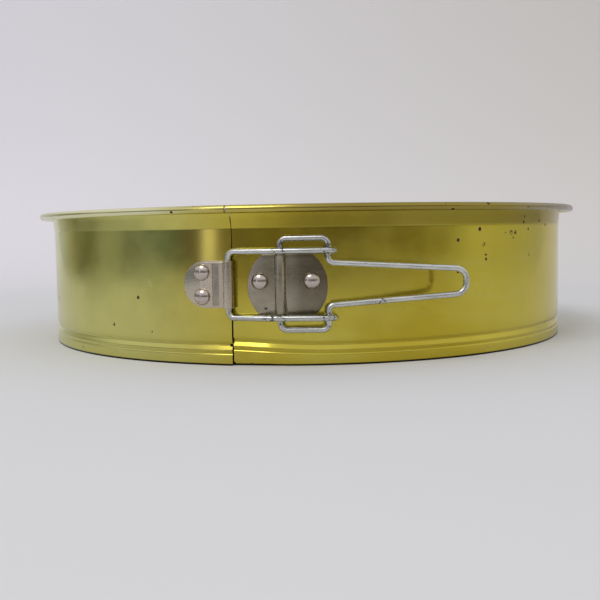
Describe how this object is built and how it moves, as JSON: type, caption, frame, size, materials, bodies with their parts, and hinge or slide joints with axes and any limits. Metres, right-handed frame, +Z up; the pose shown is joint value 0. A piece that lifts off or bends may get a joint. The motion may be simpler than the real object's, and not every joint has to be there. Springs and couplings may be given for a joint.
{
  "type": "springform cake pan",
  "caption": "Round springform cake pan: a split sheet ring with a wired rim and a loose base, closed by an over-centre wire lever latch.",
  "frame": {"origin": "on the pan's axis, at table level", "axes": "+Z up along the pan's axis; the latch lever's pivot is at -Y and its handle points to +X when closed"},
  "size_m": [0.2737, 0.2734, 0.0626],
  "materials": {
    "gold_lacquer": "satin gold lacquer over tinplate, worn bare at the edges",
    "bare_rim_wire": "plain steel wire, closed in by the rolled rim",
    "nickel_plate": "fine brushed nickel plating",
    "rivet_steel": "polished nickel-plated steel",
    "zinc_wire": "zinc-plated wire, scuffed where the wires cross"
  },
  "bodies": {
    "base": {"base_plate": "gold_lacquer"},
    "ring_right": {"band_right_half": "gold_lacquer", "rim_wire_right": "bare_rim_wire", "lever_plate": "nickel_plate", "lever_rivet_left": "rivet_steel", "lever_rivet_right": "rivet_steel"},
    "ring_left": {"band_left_half": "gold_lacquer", "rim_wire_left": "bare_rim_wire", "hinge_plate": "nickel_plate", "hinge_rivet_upper": "rivet_steel", "hinge_rivet_lower": "rivet_steel", "bail_pin": "zinc_wire"},
    "lever": {"lever": "zinc_wire"},
    "bail": {"bail": "zinc_wire"}
  },
  "joints": [
    {"name": "ring_lift", "type": "slide", "parent": "base", "child": "ring_right", "axis": [0, 0, 1], "range_m": [0, 0.09]},
    {"name": "lever_swing", "type": "hinge", "parent": "ring_right", "child": "lever", "pos_m": [0, -0.1329, 0.032], "axis": [0, 0, -1], "range_deg": [0, 174]},
    {"name": "ring_spread", "type": "hinge", "parent": "ring_right", "child": "ring_left", "pos_m": [0, 0.137, 0.032], "axis": [0, 0, -1], "range_deg": [0, 7.8]},
    {"name": "bail_swing", "type": "hinge", "parent": "lever", "child": "bail", "pos_m": [0.01864, -0.1329, 0.032], "axis": [0, 0, -1], "range_deg": [-163.4, 0]}
  ],
  "couplings": [
    {"joint": "ring_spread", "follows": "lever_swing", "ratio": 0.044798},
    {"joint": "bail_swing", "follows": "lever_swing", "ratio": -0.9387}
  ]
}
